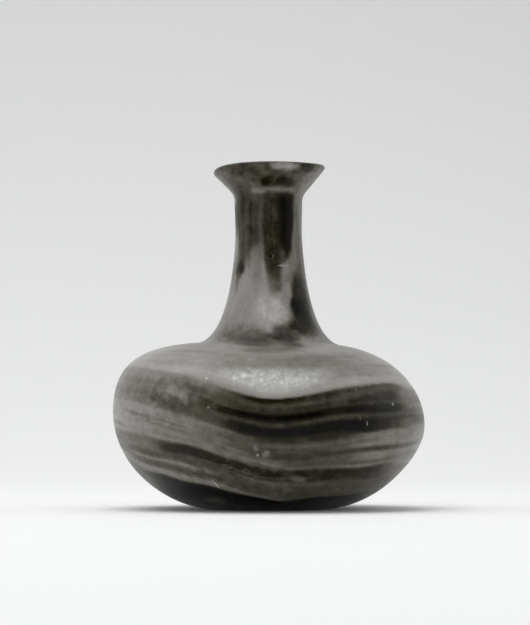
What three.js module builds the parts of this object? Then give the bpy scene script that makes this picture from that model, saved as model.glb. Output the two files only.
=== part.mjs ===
// A small free-blown perfume flask of marbled glass. It is one hollow piece, open at the mouth:
// a squat bulb on a flattened underside, a tall neck that spreads into the shoulder, and a
// flaring rim with a rounded lip. The bulb leans a little and the mouth is not quite level.
// Millimetres, +Z up, +X to the right, +Y to the back. The origin is the centre of the underside.
import * as THREE from 'three';
import { mergeVertices } from 'three/addons/utils/BufferGeometryUtils.js';

// Diameters of the outside
const FOOT_DIAMETER = 22.4;
const BELLY_DIAMETER = 64.2;
const ROOT_DIAMETER = 30.2; // where the shoulder turns up into the neck
const WAIST_DIAMETER = 13.7; // narrowest ring of the neck
const COLLAR_DIAMETER = 14; // top of the neck, under the rim
const RIM_DIAMETER = 23;

// Levels above the surface that it stands on
const BELLY_LEVEL = 18.6;
const ROOT_LEVEL = 33.8;
const WAIST_LEVEL = 57.5;
const COLLAR_LEVEL = 64.6;
const HEIGHT = 70.4; // the lip, before the mouth is tilted

// Thickness of the glass
const FOOT_WALL = 2.8;
const BELLY_WALL = 1.7;
const ROOT_WALL = 2.1;
const NECK_WALL = 1.9;
const LIP_THICKNESS = 1.1;

// The shallow hollow pushed up into the underside
const KICK_DIAMETER = 15;
const KICK_DEPTH = 0.6;

// How full the curves are: each is a curve handle's share of the distance it has to turn in
const FOOT_FULLNESS = 0.5; // along the underside, outwards from the foot
const LOWER_FULLNESS = 0.46; // from the belly down
const UPPER_FULLNESS = 0.42; // from the belly up
const SHOULDER_FULLNESS = 0.8; // from the neck's root outwards
const ROOT_SHARPNESS = 0.92; // from the neck's root inwards
const WAIST_FULLNESS = 0.08; // from the waist down
const ROOT_SLOPE = THREE.MathUtils.degToRad(6); // of the shoulder where the neck starts
const COLLAR_BEND = 1.2; // length of the bend on each side of the collar

// What free blowing left uneven. Slopes are millimetres of height per millimetre sideways.
const SHOULDER_LEAN = 0.078; // the shoulder's rise towards -X, at the belly's radius
const LEAN_START_LEVEL = 6; // where the lean begins
const LEAN_FULL_LEVEL = 30; // where it has grown to its whole slope
const NECK_BOW = 0.1; // how far the neck's upper part stands towards -X
const BOW_START_LEVEL = 50;
const MOUTH_SHIFT = 0.2; // how far the mouth stands towards +X of the neck's top
const MOUTH_FALL_LEFT = 0.056; // the mouth's fall towards -X
const MOUTH_RISE_FRONT = 0.02; // the mouth's rise towards -Y
const LIP_WAVE = 0.25; // height of the lip's two gentle waves

// How finely the surface is cut into facets
const TURN_STEPS = 56;
const LIP_STEPS = 5;

const GLASS_COLOR = 0x6f6a62;

const point = (radius, level) => new THREE.Vector2(radius, level);

// One stretch of the outside's outline, with the wall's thickness at its two ends.
function stretch(curve, steps, wallFrom, wallTo) {
  return { curve, steps, wallFrom, wallTo };
}

// The lip's centre line, and where the flare's outside meets the rounded lip. The flare is the
// straight line from the collar that just touches the lip's round underside.
function rimShape() {
  const lipRadius = LIP_THICKNESS / 2;
  const collar = point(COLLAR_DIAMETER / 2, COLLAR_LEVEL);
  const lipCentre = point(RIM_DIAMETER / 2 - lipRadius, HEIGHT - lipRadius);
  const reach = lipCentre.clone().sub(collar);
  const flareAngle = reach.angle() - Math.asin(lipRadius / reach.length());
  const along = point(Math.cos(flareAngle), Math.sin(flareAngle));
  const outwards = point(along.y, -along.x);
  const flareEnd = lipCentre.clone().addScaledVector(outwards, lipRadius);
  return { collar, lipCentre, lipRadius, flareAngle, along, flareEnd };
}

// The outside's outline, from the centre of the underside up to the lip.
function outerStretches({ collar, along, flareEnd }) {
  const kickEdge = point(KICK_DIAMETER / 2, 0);
  const foot = point(FOOT_DIAMETER / 2, 0);
  const belly = point(BELLY_DIAMETER / 2, BELLY_LEVEL);
  const root = point(ROOT_DIAMETER / 2, ROOT_LEVEL);
  const waist = point(WAIST_DIAMETER / 2, WAIST_LEVEL);
  const intoNeck = point(-Math.cos(ROOT_SLOPE), Math.sin(ROOT_SLOPE));

  const kick = new THREE.QuadraticBezierCurve(
    point(0, KICK_DEPTH),
    point(kickEdge.x / 2, KICK_DEPTH),
    kickEdge,
  );
  const footRing = new THREE.LineCurve(kickEdge, foot);
  const lowerBulb = new THREE.CubicBezierCurve(
    foot,
    foot.clone().add(point(FOOT_FULLNESS * (belly.x - foot.x), 0)),
    belly.clone().sub(point(0, LOWER_FULLNESS * BELLY_LEVEL)),
    belly,
  );
  const upperBulb = new THREE.CubicBezierCurve(
    belly,
    belly.clone().add(point(0, UPPER_FULLNESS * (root.y - belly.y))),
    root.clone().addScaledVector(intoNeck, -SHOULDER_FULLNESS * (belly.x - root.x)),
    root,
  );
  const neck = new THREE.CubicBezierCurve(
    root,
    root.clone().addScaledVector(intoNeck, ROOT_SHARPNESS * (root.x - waist.x)),
    waist.clone().sub(point(0, WAIST_FULLNESS * (waist.y - root.y))),
    waist,
  );
  const bendStart = collar.clone().sub(point(0, COLLAR_BEND));
  const bendEnd = collar.clone().addScaledVector(along, COLLAR_BEND);
  const neckTop = new THREE.CubicBezierCurve(
    waist,
    waist.clone().add(point(0, (bendStart.y - waist.y) / 3)),
    bendStart.clone().sub(point(0, (bendStart.y - waist.y) / 3)),
    bendStart,
  );
  const bend = new THREE.QuadraticBezierCurve(bendStart, collar, bendEnd);
  const flare = new THREE.LineCurve(bendEnd, flareEnd);

  return [
    stretch(kick, 3, FOOT_WALL, FOOT_WALL),
    stretch(footRing, 1, FOOT_WALL, FOOT_WALL),
    stretch(lowerBulb, 9, FOOT_WALL, BELLY_WALL),
    stretch(upperBulb, 9, BELLY_WALL, ROOT_WALL),
    stretch(neck, 9, ROOT_WALL, NECK_WALL),
    stretch(neckTop, 2, NECK_WALL, NECK_WALL),
    stretch(bend, 3, NECK_WALL, LIP_THICKNESS),
    stretch(flare, 1, LIP_THICKNESS, LIP_THICKNESS),
  ];
}

// Points along the outside and, one wall's thickness behind each of them, along the inside.
function wallPoints(stretches) {
  const outside = [];
  const inside = [];
  stretches.forEach(({ curve, steps, wallFrom, wallTo }, index) => {
    for (let step = index === 0 ? 0 : 1; step <= steps; step += 1) {
      const along = step / steps;
      const surface = curve.getPoint(along);
      const tangent = curve.getTangent(along);
      const wall = THREE.MathUtils.lerp(wallFrom, wallTo, along);
      const inwards = point(-tangent.y, tangent.x);
      outside.push(surface);
      inside.push(surface.clone().addScaledVector(inwards, wall));
    }
  });
  inside[0].x = 0;
  return { outside, inside };
}

// The points of the half-round lip between the flare's outside and its inside.
function lipPoints({ lipCentre, lipRadius, flareAngle }) {
  const start = flareAngle - Math.PI / 2;
  const points = [];
  for (let step = 1; step < LIP_STEPS; step += 1) {
    const turned = start + (Math.PI * step) / LIP_STEPS;
    points.push(point(Math.cos(turned), Math.sin(turned)).multiplyScalar(lipRadius).add(lipCentre));
  }
  return points;
}

// Moves a point of the true round form to where free blowing left it.
function asBlown(position) {
  const { x, y, z } = position;
  const radius = Math.hypot(x, y);
  const bellyRadius = BELLY_DIAMETER / 2;
  const rise = THREE.MathUtils.smoothstep(z, LEAN_START_LEVEL, LEAN_FULL_LEVEL);
  const lean = -SHOULDER_LEAN * x * (radius / bellyRadius) ** 2 * rise;
  const bow = -NECK_BOW * THREE.MathUtils.smoothstep(z, BOW_START_LEVEL, COLLAR_LEVEL);
  const atMouth = THREE.MathUtils.smoothstep(z, COLLAR_LEVEL, HEIGHT);
  const tilt = MOUTH_FALL_LEFT * x - MOUTH_RISE_FRONT * y;
  const wave = LIP_WAVE * Math.sin(2 * Math.atan2(y, x));
  position.x += bow + MOUTH_SHIFT * atMouth;
  position.z += lean + (tilt + wave) * atMouth;
}

// The whole flask as one closed surface, outside and inside, with its free-blown unevenness.
function flaskGeometry() {
  const rim = rimShape();
  const { outside, inside } = wallPoints(outerStretches(rim));
  const outline = [...outside, ...lipPoints(rim), ...inside.reverse()];
  const turned = new THREE.LatheGeometry(outline, TURN_STEPS);
  turned.rotateX(Math.PI / 2);
  turned.deleteAttribute('normal');
  turned.deleteAttribute('uv');
  const geometry = mergeVertices(turned, 1e-4);

  const positions = geometry.getAttribute('position');
  const position = new THREE.Vector3();
  for (let index = 0; index < positions.count; index += 1) {
    position.fromBufferAttribute(positions, index);
    asBlown(position);
    positions.setXYZ(index, position.x, position.y, position.z);
  }
  geometry.computeVertexNormals();
  return geometry;
}

// Weathered glass is satin rather than glossy, and no metal.
function marbledGlass() {
  return new THREE.MeshStandardMaterial({ color: GLASS_COLOR, roughness: 0.4, metalness: 0 });
}

const flask = new THREE.Mesh(flaskGeometry(), marbledGlass());
flask.name = 'flask';

const group = new THREE.Group();
group.add(flask);

export default group;
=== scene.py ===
"""A small ancient perfume flask of marbled glass, free-blown and weathered, on a plain pale sweep.

The flask is one piece. Its outline is worked out from named sizes, a Geometry Nodes tree turns it
about the Z axis and leaves it as uneven as free blowing did, and the marbling is laid on as strands,
tongues and patches of darker and lighter glass, which in places also carry painted light and shade.
Sizes are in millimetres until a mesh is made.
"""

import logging
import math
from dataclasses import dataclass, field, replace
from enum import Enum
from typing import Any, Sequence

import bpy
import numpy as np
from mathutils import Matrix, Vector


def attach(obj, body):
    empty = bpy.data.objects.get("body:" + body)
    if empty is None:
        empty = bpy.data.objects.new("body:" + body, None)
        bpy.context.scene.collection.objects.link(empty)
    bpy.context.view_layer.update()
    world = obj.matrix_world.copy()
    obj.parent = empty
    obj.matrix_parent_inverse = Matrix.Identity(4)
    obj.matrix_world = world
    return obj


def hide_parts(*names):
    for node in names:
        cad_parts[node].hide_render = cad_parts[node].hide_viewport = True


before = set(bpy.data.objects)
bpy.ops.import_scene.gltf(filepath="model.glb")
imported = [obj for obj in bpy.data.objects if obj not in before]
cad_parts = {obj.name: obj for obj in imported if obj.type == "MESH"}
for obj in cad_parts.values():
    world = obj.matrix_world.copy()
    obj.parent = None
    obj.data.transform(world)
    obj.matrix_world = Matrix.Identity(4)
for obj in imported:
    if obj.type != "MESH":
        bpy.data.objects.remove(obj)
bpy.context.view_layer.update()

MM = 0.001
LOG = logging.getLogger("perfume_flask")

# What can be linked into a node: a socket, or a node for its first output
Wire = bpy.types.Node | bpy.types.NodeSocket


# Helpers that any piece may use


def linear(hex_colour: str) -> tuple[float, float, float, float]:
    """Turns an sRGB hex colour into the linear one that shaders take.

    Args:
        hex_colour: Six hex digits, such as "9c968e".

    Returns:
        Red, green and blue in linear light, and an alpha of 1.
    """
    values = [int(hex_colour[start:start + 2], 16) / 255 for start in (0, 2, 4)]
    light = [v / 12.92 if v <= 0.04045 else ((v + 0.055) / 1.055) ** 2.4 for v in values]
    return light[0], light[1], light[2], 1.0


def add_node(tree: bpy.types.NodeTree, kind: str, inputs: dict[Any, Any] | None = None,
             **settings: Any) -> bpy.types.Node:
    """Adds one node to a tree, with its settings and what goes into it.

    Args:
        tree: The tree that the node joins.
        kind: The node's type name.
        inputs: For each input, by name or number, a socket to link from, a node whose first output
            is linked, or a plain value.
        settings: The node's own properties.

    Returns:
        The new node.
    """
    node = tree.nodes.new(kind)
    for name, value in settings.items():
        setattr(node, name, value)
    for key, value in (inputs or {}).items():
        source = value.outputs[0] if isinstance(value, bpy.types.Node) else value
        if isinstance(source, bpy.types.NodeSocket):
            tree.links.new(source, node.inputs[key])
        else:
            node.inputs[key].default_value = source
    return node


def smooth(value: np.ndarray, start: np.ndarray | float, full: np.ndarray | float) -> np.ndarray:
    """Rises gently from 0 at start to 1 at full.

    Args:
        value: Where to look.
        start: The value at which the result is 0.
        full: The value at which the result is 1; it may be below start.

    Returns:
        The eased share for each value.
    """
    share = np.clip((value - start) / (full - start), 0.0, 1.0)
    return share * share * (3.0 - 2.0 * share)


def within(away: np.ndarray, half: np.ndarray | float, softness: float) -> np.ndarray:
    """Covers what lies within a half width, with a soft edge.

    Args:
        away: How far each place is from the middle.
        half: The half width.
        softness: How wide the edge is over which the cover fades.

    Returns:
        The cover, from 0 well outside to 1 inside.
    """
    return smooth(away, half + softness / 2, np.maximum(half - softness / 2, -1.0))


def turned_from(azimuth: np.ndarray, centre: np.ndarray | float) -> np.ndarray:
    """Gives how many degrees each azimuth lies from a centre, from -180 to 180."""
    return (azimuth - centre + 180.0) % 360.0 - 180.0


def bezier(handles: Sequence[Sequence[float]], share: np.ndarray) -> tuple[np.ndarray, np.ndarray]:
    """Follows a line, a quadratic or a cubic curve.

    Args:
        handles: Two to four points, each (radius, level).
        share: How far along the curve, from 0 to 1.

    Returns:
        The points, and the unit directions that the curve runs in there.
    """
    along = share[:, None]
    points = [np.broadcast_to(np.array(handle, float), (len(share), 2)) for handle in handles]
    while len(points) > 2:
        points = [a + (b - a) * along for a, b in zip(points, points[1:])]
    run = points[1] - points[0]
    return points[0] + run * along, run / np.linalg.norm(run, axis=1, keepdims=True)


# The shape

# How many points measure a curve's length
CURVE_SAMPLES = 40

# Points closer than this are one point, in millimetres
SEAM_GAP = 0.001


@dataclass(frozen=True)
class Stretch:
    """One stretch of the outside's outline, with the wall's thickness at its two ends. Millimetres."""

    handles: list[tuple[float, float]]
    wall_from: float
    wall_to: float
    spacing: float

    def length(self) -> float:
        """Measures the stretch along its curve."""
        points, _ = bezier(self.handles, np.linspace(0.0, 1.0, CURVE_SAMPLES))
        return float(np.linalg.norm(np.diff(points, axis=0), axis=1).sum())


@dataclass(frozen=True)
class Rim:
    """Where the flare leaves the collar and meets the rounded lip. Points are (radius, level)."""

    collar: np.ndarray
    along: np.ndarray
    flare_angle: float
    flare_end: np.ndarray
    lip_centre: np.ndarray
    lip_radius: float


@dataclass
class FlaskOutline:
    """The flask's outline as the glassblower's form has it, before it leans. Millimetres."""

    foot_diameter: float = 22.4
    belly_diameter: float = 64.2
    root_diameter: float = 30.2
    waist_diameter: float = 13.7
    collar_diameter: float = 14.0
    rim_diameter: float = 23.0
    belly_level: float = 18.6
    root_level: float = 33.8
    waist_level: float = 57.5
    collar_level: float = 64.6
    height: float = 70.4
    foot_wall: float = 2.8
    belly_wall: float = 1.7
    root_wall: float = 2.1
    neck_wall: float = 1.9
    lip_thickness: float = 1.1
    kick_diameter: float = 15.0
    kick_depth: float = 0.6
    foot_fullness: float = 0.5
    lower_fullness: float = 0.46
    upper_fullness: float = 0.42
    shoulder_fullness: float = 0.8
    root_sharpness: float = 0.92
    waist_fullness: float = 0.08
    root_slope: float = math.radians(6.0)
    collar_bend: float = 1.2
    bulb_spacing: float = 0.45
    neck_spacing: float = 0.8
    underside_spacing: float = 1.2
    inside_spacing: float = 2.8
    lip_steps: int = 9

    def rim(self) -> Rim:
        """Works out the flare that touches the rounded lip.

        Returns:
            The flare and the lip.
        """
        lip_radius = self.lip_thickness / 2
        collar = np.array([self.collar_diameter / 2, self.collar_level])
        lip_centre = np.array([self.rim_diameter / 2 - lip_radius, self.height - lip_radius])
        reach = lip_centre - collar
        angle = math.atan2(reach[1], reach[0]) - math.asin(lip_radius / np.linalg.norm(reach))
        along = np.array([math.cos(angle), math.sin(angle)])
        outwards = np.array([along[1], -along[0]])
        return Rim(collar, along, angle, lip_centre + outwards * lip_radius, lip_centre, lip_radius)

    def stretches(self) -> list[Stretch]:
        """Lists the outside's stretches.

        Returns:
            The stretches, from the middle of the underside up to the lip.
        """
        rim = self.rim()
        kick_edge = (self.kick_diameter / 2, 0.0)
        foot = (self.foot_diameter / 2, 0.0)
        belly = (self.belly_diameter / 2, self.belly_level)
        root = (self.root_diameter / 2, self.root_level)
        waist = (self.waist_diameter / 2, self.waist_level)
        into_neck = (-math.cos(self.root_slope), math.sin(self.root_slope))
        shoulder = self.shoulder_fullness * (belly[0] - root[0])
        upturn = self.root_sharpness * (root[0] - waist[0])
        bend_start = (rim.collar[0], rim.collar[1] - self.collar_bend)
        bend_end = tuple(rim.collar + rim.along * self.collar_bend)
        straight = (bend_start[1] - waist[1]) / 3
        bulb, neck, under = self.bulb_spacing, self.neck_spacing, self.underside_spacing
        return [
            Stretch([(0.0, self.kick_depth), (kick_edge[0] / 2, self.kick_depth), kick_edge],
                    self.foot_wall, self.foot_wall, under),
            Stretch([kick_edge, foot], self.foot_wall, self.foot_wall, under),
            Stretch([foot, (foot[0] + self.foot_fullness * (belly[0] - foot[0]), 0.0),
                     (belly[0], belly[1] * (1 - self.lower_fullness)), belly],
                    self.foot_wall, self.belly_wall, bulb),
            Stretch([belly, (belly[0], belly[1] + self.upper_fullness * (root[1] - belly[1])),
                     (root[0] - into_neck[0] * shoulder, root[1] - into_neck[1] * shoulder), root],
                    self.belly_wall, self.root_wall, bulb),
            Stretch([root, (root[0] + into_neck[0] * upturn, root[1] + into_neck[1] * upturn),
                     (waist[0], waist[1] - self.waist_fullness * (waist[1] - root[1])), waist],
                    self.root_wall, self.neck_wall, neck),
            Stretch([waist, (waist[0], waist[1] + straight),
                     (bend_start[0], bend_start[1] - straight), bend_start],
                    self.neck_wall, self.neck_wall, neck),
            Stretch([bend_start, tuple(rim.collar), bend_end], self.neck_wall, self.lip_thickness, bulb),
            Stretch([bend_end, tuple(rim.flare_end)], self.lip_thickness, self.lip_thickness, bulb),
        ]

    def _side(self, inside: bool) -> np.ndarray:
        """Samples one side of the wall, from its middle at the bottom to where the lip starts.

        Args:
            inside: Whether it is the inside, which lies one wall's thickness behind the outside.

        Returns:
            The points, each (radius, level).
        """
        parts = []
        for index, part in enumerate(self.stretches()):
            spacing = self.inside_spacing if inside else part.spacing
            steps = max(2, round(part.length() / spacing))
            share = np.linspace(0.0, 1.0, steps + 1)[0 if index == 0 else 1:]
            points, run = bezier(part.handles, share)
            if inside:
                wall = part.wall_from + (part.wall_to - part.wall_from) * share
                points = points + np.stack([-run[:, 1], run[:, 0]], axis=1) * wall[:, None]
            parts.append(points)
        side = np.concatenate(parts)
        side[0, 0] = 0.0
        return side

    def _lip(self) -> np.ndarray:
        """Samples the half-round lip.

        Returns:
            The points between the outside and the inside, each (radius, level).
        """
        rim = self.rim()
        turned = rim.flare_angle - math.pi / 2 + math.pi * np.arange(1, self.lip_steps) / self.lip_steps
        return rim.lip_centre + rim.lip_radius * np.stack([np.cos(turned), np.sin(turned)], axis=1)

    def points(self) -> tuple[np.ndarray, int]:
        """Gives the whole outline.

        Returns:
            The points (radius, level) in millimetres, and how many of them lie on the outside.
        """
        outside = self._side(inside=False)
        lip = self._lip()
        inside = self._side(inside=True)[::-1]
        return np.concatenate([outside, lip, inside]), len(outside) + len(lip) // 2


@dataclass
class BlownUnevenness:
    """What free blowing left uneven. Slopes are millimetres of height per millimetre sideways."""

    shoulder_lean: float = 0.078
    lean_start_level: float = 6.0
    lean_full_level: float = 30.0
    neck_bow: float = 0.1
    bow_start_level: float = 50.0
    mouth_shift: float = 0.2
    mouth_fall_left: float = 0.056
    mouth_rise_front: float = 0.02
    lip_wave: float = 0.25
    swell_height: float = 0.12
    swell_length: float = 14.0
    seed: int = 7


class LatheInput(Enum):
    """The lathe tree's inputs, each with its socket type."""

    OUTLINE = ("Outline", "NodeSocketGeometry")
    RINGS = ("Rings", "NodeSocketInt")
    FACETS = ("Facets", "NodeSocketInt")
    BELLY_RADIUS = ("Belly Radius", "NodeSocketFloat")
    SHOULDER_LEAN = ("Shoulder Lean", "NodeSocketFloat")
    LEAN_START = ("Lean Start", "NodeSocketFloat")
    LEAN_FULL = ("Lean Full", "NodeSocketFloat")
    NECK_BOW = ("Neck Bow", "NodeSocketFloat")
    BOW_START = ("Bow Start", "NodeSocketFloat")
    COLLAR_LEVEL = ("Collar Level", "NodeSocketFloat")
    LIP_LEVEL = ("Lip Level", "NodeSocketFloat")
    MOUTH_SHIFT = ("Mouth Shift", "NodeSocketFloat")
    MOUTH_FALL = ("Mouth Fall", "NodeSocketFloat")
    MOUTH_RISE = ("Mouth Rise", "NodeSocketFloat")
    LIP_WAVE = ("Lip Wave", "NodeSocketFloat")
    SWELL_HEIGHT = ("Swell Height", "NodeSocketFloat")
    SWELL_LENGTH = ("Swell Length", "NodeSocketFloat")
    SEED = ("Seed", "NodeSocketInt")
    GLASS = ("Glass", "NodeSocketMaterial")


class BlownLathe:
    """Geometry Nodes tree that turns an outline about Z and leaves it as free blowing did."""

    RING_ATTRIBUTE = "ring"

    def __init__(self) -> None:
        """Builds the tree."""
        self.tree = bpy.data.node_groups.new("blown_lathe", "GeometryNodeTree")
        self.identifiers: dict[LatheInput, str] = {}
        for item in LatheInput:
            name, kind = item.value
            socket = self.tree.interface.new_socket(name, in_out="INPUT", socket_type=kind)
            self.identifiers[item] = socket.identifier
        self.tree.interface.new_socket("Flask", in_out="OUTPUT", socket_type="NodeSocketGeometry")
        self.given = self.tree.nodes.new("NodeGroupInput")
        self._build()

    def _input(self, item: LatheInput) -> bpy.types.NodeSocket:
        """Gives the socket that an input arrives on."""
        return self.given.outputs[item.value[0]]

    def _turned(self) -> tuple[Wire, Wire, Wire]:
        """Turns the outline about Z.

        Returns:
            The flat grid, each point's ring number, and its place on the turned form.
        """
        tree = self.tree
        rings = self._input(LatheInput.RINGS)
        turns = add_node(tree, "ShaderNodeMath", {0: self._input(LatheInput.FACETS), 1: 1}, operation="ADD")
        grid = add_node(tree, "GeometryNodeMeshGrid", {
            "Size X": 1.0, "Size Y": 1.0, "Vertices X": rings, "Vertices Y": turns,
        })
        place = add_node(tree, "GeometryNodeInputPosition")
        shares = add_node(tree, "ShaderNodeSeparateXYZ", {0: place})
        ring_share = add_node(tree, "ShaderNodeMath", {0: shares.outputs["X"], 1: 0.5}, operation="ADD")
        last_ring = add_node(tree, "ShaderNodeMath", {0: rings, 1: 1}, operation="SUBTRACT")
        ring_place = add_node(tree, "ShaderNodeMath", {0: ring_share, 1: last_ring}, operation="MULTIPLY")
        ring = add_node(tree, "ShaderNodeMath", {0: ring_place}, operation="ROUND")
        outline_point = add_node(tree, "GeometryNodeSampleIndex", {
            "Geometry": self._input(LatheInput.OUTLINE), "Value": place, "Index": ring,
        }, data_type="FLOAT_VECTOR", domain="POINT")
        angle = add_node(tree, "ShaderNodeMath", {0: shares.outputs["Y"], 1: -math.tau, 2: -math.pi / 2},
                         operation="MULTIPLY_ADD")
        turned = add_node(tree, "ShaderNodeVectorRotate", {"Vector": outline_point, "Angle": angle},
                          rotation_type="Z_AXIS")
        return grid, ring, turned

    def _lean(self, x: Wire, z: Wire, sideways: Wire) -> Wire:
        """Works out how far the shoulder sinks to the right, growing with the square of the radius.

        Args:
            x: The point's X.
            z: The point's level.
            sideways: The point's place seen from above.

        Returns:
            The fall.
        """
        tree = self.tree
        radius = add_node(tree, "ShaderNodeVectorMath", {0: sideways}, operation="LENGTH").outputs["Value"]
        share = add_node(tree, "ShaderNodeMath", {0: radius, 1: self._input(LatheInput.BELLY_RADIUS)},
                         operation="DIVIDE")
        square = add_node(tree, "ShaderNodeMath", {0: share, 1: 2.0}, operation="POWER")
        slope = add_node(tree, "ShaderNodeMapRange", {
            0: z, 1: self._input(LatheInput.LEAN_START), 2: self._input(LatheInput.LEAN_FULL),
            3: 0.0, 4: self._input(LatheInput.SHOULDER_LEAN),
        }, interpolation_type="SMOOTHSTEP")
        fall = add_node(tree, "ShaderNodeMath", {0: slope, 1: x}, operation="MULTIPLY")
        return add_node(tree, "ShaderNodeMath", {0: fall, 1: square}, operation="MULTIPLY")

    def _tilt(self, x: Wire, y: Wire) -> Wire:
        """Works out how far the lip rises: a tilt to both sides and two gentle waves.

        Args:
            x: The point's X.
            y: The point's Y.

        Returns:
            The rise at the lip.
        """
        tree = self.tree
        fall = add_node(tree, "ShaderNodeMath", {0: self._input(LatheInput.MOUTH_FALL), 1: x},
                        operation="MULTIPLY")
        rise = add_node(tree, "ShaderNodeMath", {0: self._input(LatheInput.MOUTH_RISE), 1: y},
                        operation="MULTIPLY")
        tilt = add_node(tree, "ShaderNodeMath", {0: fall, 1: rise}, operation="SUBTRACT")
        turn = add_node(tree, "ShaderNodeMath", {0: y, 1: x}, operation="ARCTAN2")
        double_turn = add_node(tree, "ShaderNodeMath", {0: turn, 1: 2.0}, operation="MULTIPLY")
        wave = add_node(tree, "ShaderNodeMath", {0: double_turn}, operation="SINE")
        return add_node(tree, "ShaderNodeMath", {0: wave, 1: self._input(LatheInput.LIP_WAVE), 2: tilt},
                        operation="MULTIPLY_ADD")

    def _swell(self, place: Wire, z: Wire, sideways: Wire) -> Wire:
        """Works out the slight swells and hollows of the wall, which leave the foot flat.

        Args:
            place: The point on the true round form.
            z: The point's level.
            sideways: The point's place seen from above.

        Returns:
            The offset, as a vector.
        """
        tree = self.tree
        density = add_node(tree, "ShaderNodeMath", {0: 1.0, 1: self._input(LatheInput.SWELL_LENGTH)},
                           operation="DIVIDE")
        noise = add_node(tree, "ShaderNodeTexNoise", {
            "Vector": place, "W": self._input(LatheInput.SEED), "Scale": density, "Detail": 1.0,
        }, noise_dimensions="4D")
        height = add_node(tree, "ShaderNodeMapRange", {
            0: z, 1: 0.0, 2: self._input(LatheInput.LEAN_START), 3: 0.0,
            4: self._input(LatheInput.SWELL_HEIGHT),
        }, interpolation_type="SMOOTHSTEP")
        centred = add_node(tree, "ShaderNodeMath", {0: noise, 1: 0.5}, operation="SUBTRACT")
        swell = add_node(tree, "ShaderNodeMath", {0: centred, 1: height}, operation="MULTIPLY")
        outwards = add_node(tree, "ShaderNodeVectorMath", {0: sideways}, operation="NORMALIZE")
        return add_node(tree, "ShaderNodeVectorMath", {0: outwards, "Scale": swell}, operation="SCALE")

    def _unevenness(self, place: Wire) -> Wire:
        """Works out how far free blowing moved each point.

        Args:
            place: The point on the true round form.

        Returns:
            The offset, as a vector.
        """
        tree = self.tree
        axes = add_node(tree, "ShaderNodeSeparateXYZ", {0: place})
        x, y, z = (axes.outputs[name] for name in "XYZ")
        sideways = add_node(tree, "ShaderNodeCombineXYZ", {"X": x, "Y": y})
        collar_level = self._input(LatheInput.COLLAR_LEVEL)
        bow = add_node(tree, "ShaderNodeMapRange", {
            0: z, 1: self._input(LatheInput.BOW_START), 2: collar_level,
            3: 0.0, 4: self._input(LatheInput.NECK_BOW),
        }, interpolation_type="SMOOTHSTEP")
        at_mouth = add_node(tree, "ShaderNodeMapRange", {
            0: z, 1: collar_level, 2: self._input(LatheInput.LIP_LEVEL), 3: 0.0, 4: 1.0,
        }, interpolation_type="SMOOTHSTEP")
        shift = add_node(tree, "ShaderNodeMath", {0: self._input(LatheInput.MOUTH_SHIFT), 1: at_mouth},
                         operation="MULTIPLY")
        aside = add_node(tree, "ShaderNodeMath", {0: shift, 1: bow}, operation="SUBTRACT")
        tilt = add_node(tree, "ShaderNodeMath", {0: self._tilt(x, y), 1: at_mouth}, operation="MULTIPLY")
        rise = add_node(tree, "ShaderNodeMath", {0: tilt, 1: self._lean(x, z, sideways)},
                        operation="SUBTRACT")
        moved = add_node(tree, "ShaderNodeCombineXYZ", {"X": aside, "Z": rise})
        return add_node(tree, "ShaderNodeVectorMath", {0: moved, 1: self._swell(place, z, sideways)},
                        operation="ADD")

    def _build(self) -> None:
        """Joins the nodes from the outline to the finished mesh."""
        tree = self.tree
        grid, ring, place = self._turned()
        blown = add_node(tree, "ShaderNodeVectorMath", {0: place, 1: self._unevenness(place)},
                         operation="ADD")
        numbered = add_node(tree, "GeometryNodeStoreNamedAttribute", {
            "Geometry": grid, "Name": self.RING_ATTRIBUTE, "Value": ring,
        }, data_type="FLOAT", domain="POINT")
        shaped = add_node(tree, "GeometryNodeSetPosition", {"Geometry": numbered, "Position": blown})
        closed = add_node(tree, "GeometryNodeMergeByDistance", {
            "Geometry": shaped, "Distance": SEAM_GAP * MM,
        })
        smoothed = add_node(tree, "GeometryNodeSetShadeSmooth", {"Geometry": closed})
        realized = add_node(tree, "GeometryNodeRealizeInstances", {"Geometry": smoothed})
        dressed = add_node(tree, "GeometryNodeSetMaterial", {
            "Geometry": realized, "Material": self._input(LatheInput.GLASS),
        })
        add_node(tree, "NodeGroupOutput", {0: dressed})

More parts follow.
